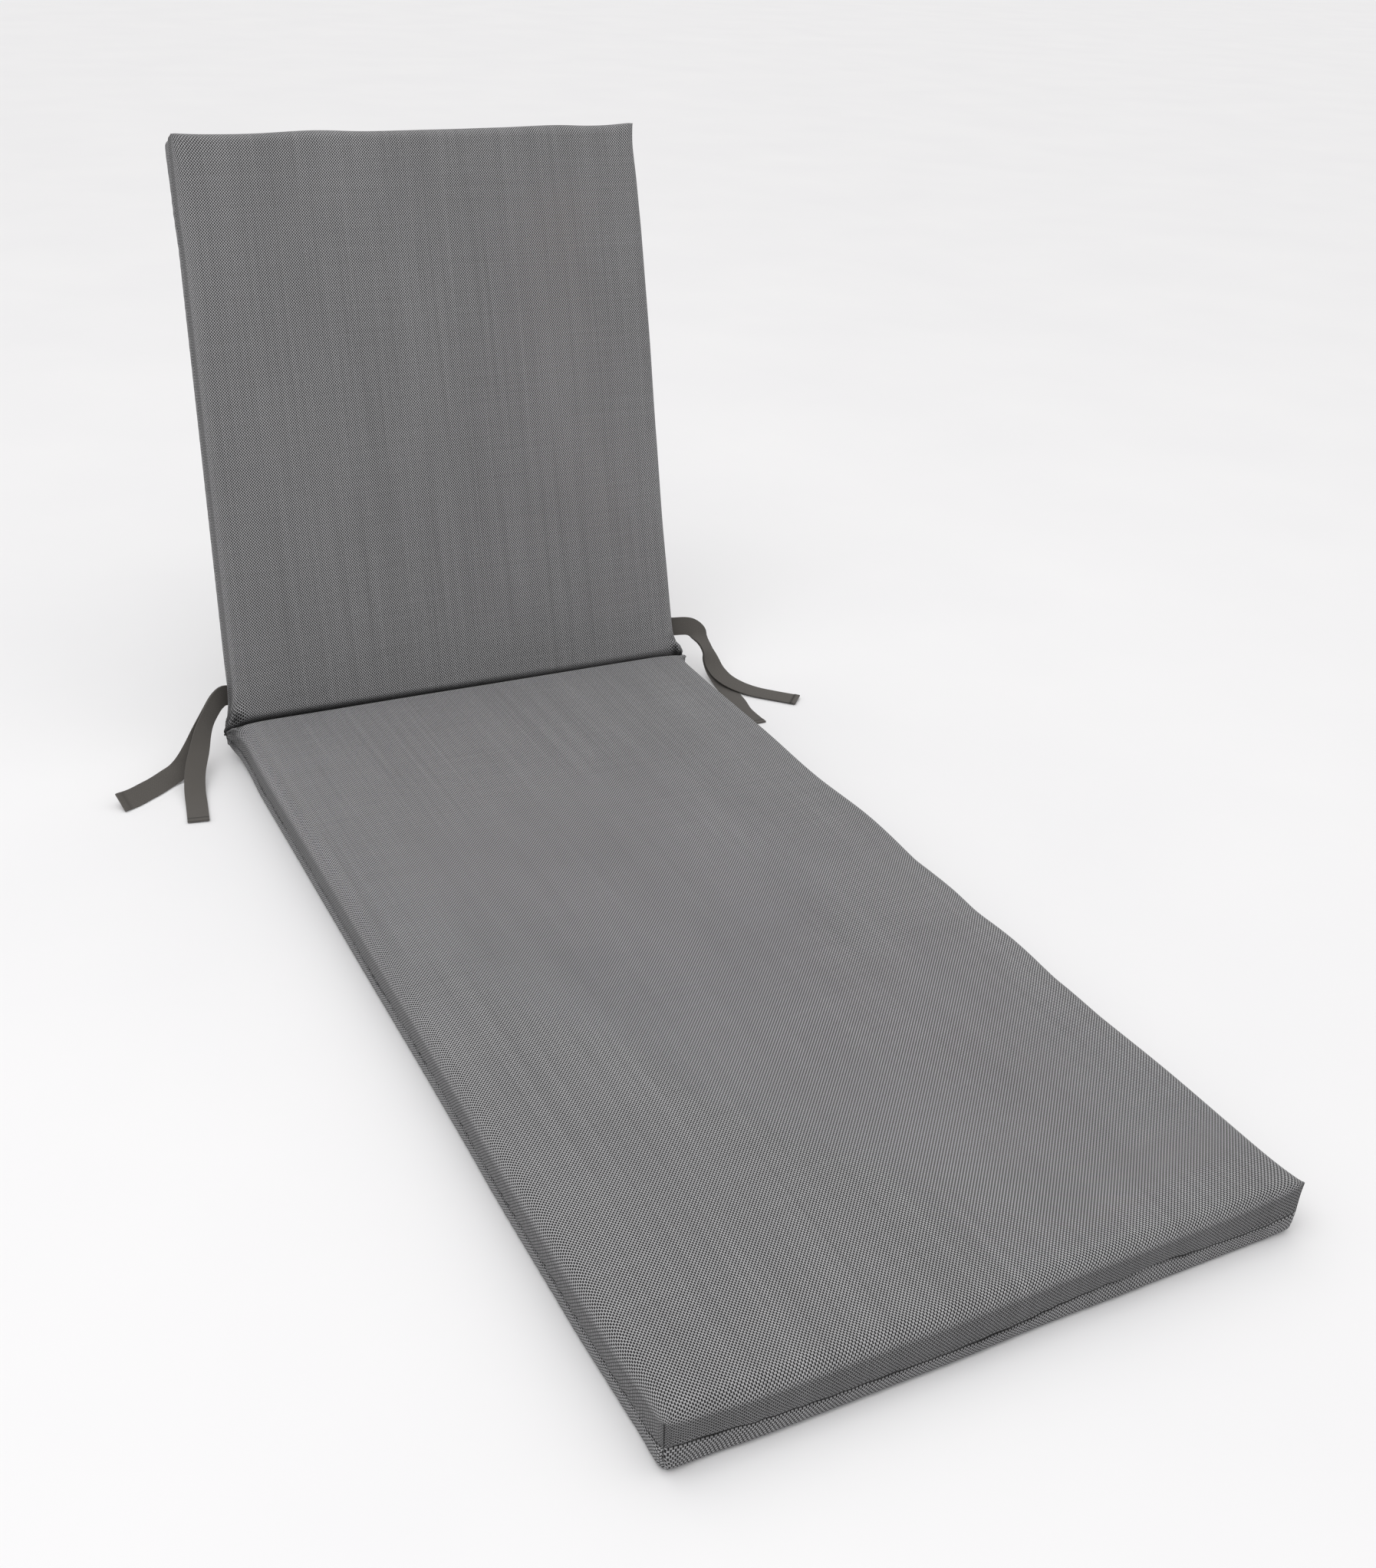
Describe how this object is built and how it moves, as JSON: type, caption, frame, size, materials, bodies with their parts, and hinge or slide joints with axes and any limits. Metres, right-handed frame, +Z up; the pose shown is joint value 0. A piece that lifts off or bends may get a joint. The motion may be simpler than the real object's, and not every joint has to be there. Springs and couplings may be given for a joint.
{
  "type": "sun lounger cushion",
  "caption": "Padded seat and back cushion for a reclining sun lounger, with a sewn channel to bend at and tie tapes at the sides.",
  "frame": {"origin": "on the floor under the middle of the cushion's box, measured without the tie tapes", "axes": "+Z up; the seat's front end points to -Y and the back section rises at +Y; +X is to the right of someone who looks along +Y"},
  "size_m": [0.9129, 1.4282, 0.7458],
  "materials": {
    "cover": "coarse plain weave of a dark warp and a pale grey weft",
    "tape": "dark warm grey woven tape, matt"
  },
  "bodies": {
    "root": {"cushion": "cover", "tie_left_front": "tape", "tie_left_rear": "tape", "tie_right_outer": "tape", "tie_right_inner": "tape"}
  },
  "joints": []
}
